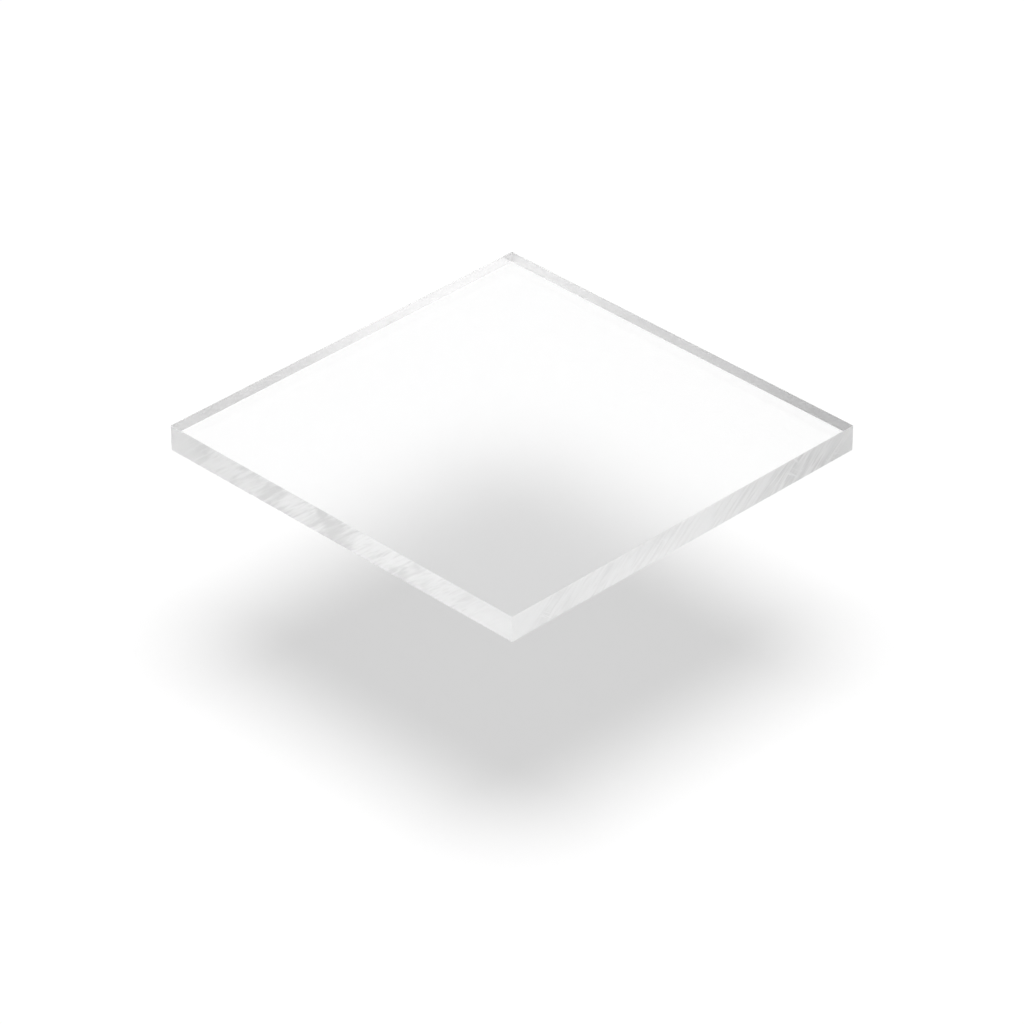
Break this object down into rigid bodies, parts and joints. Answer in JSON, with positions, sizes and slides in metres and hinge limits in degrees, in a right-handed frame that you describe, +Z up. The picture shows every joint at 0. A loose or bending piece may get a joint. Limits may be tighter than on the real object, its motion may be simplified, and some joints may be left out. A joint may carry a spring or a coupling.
{
  "type": "frosted acrylic sheet",
  "caption": "Square flat sheet of solid frosted acrylic, smooth above and matt below, with sawn edges and lightly scraped arrises.",
  "frame": {"origin": "the middle of the underside, the face that the sheet lies on", "axes": "+Z is up, through the 6 mm thickness; X and Y are parallel to the sawn edges"},
  "size_m": [0.1, 0.1, 0.006],
  "materials": {
    "frosted_acrylic": "colourless acrylic, smooth above, frosted below, sawn and unpolished at the edges"
  },
  "bodies": {
    "root": {"acrylic_sheet": "frosted_acrylic"}
  },
  "joints": []
}
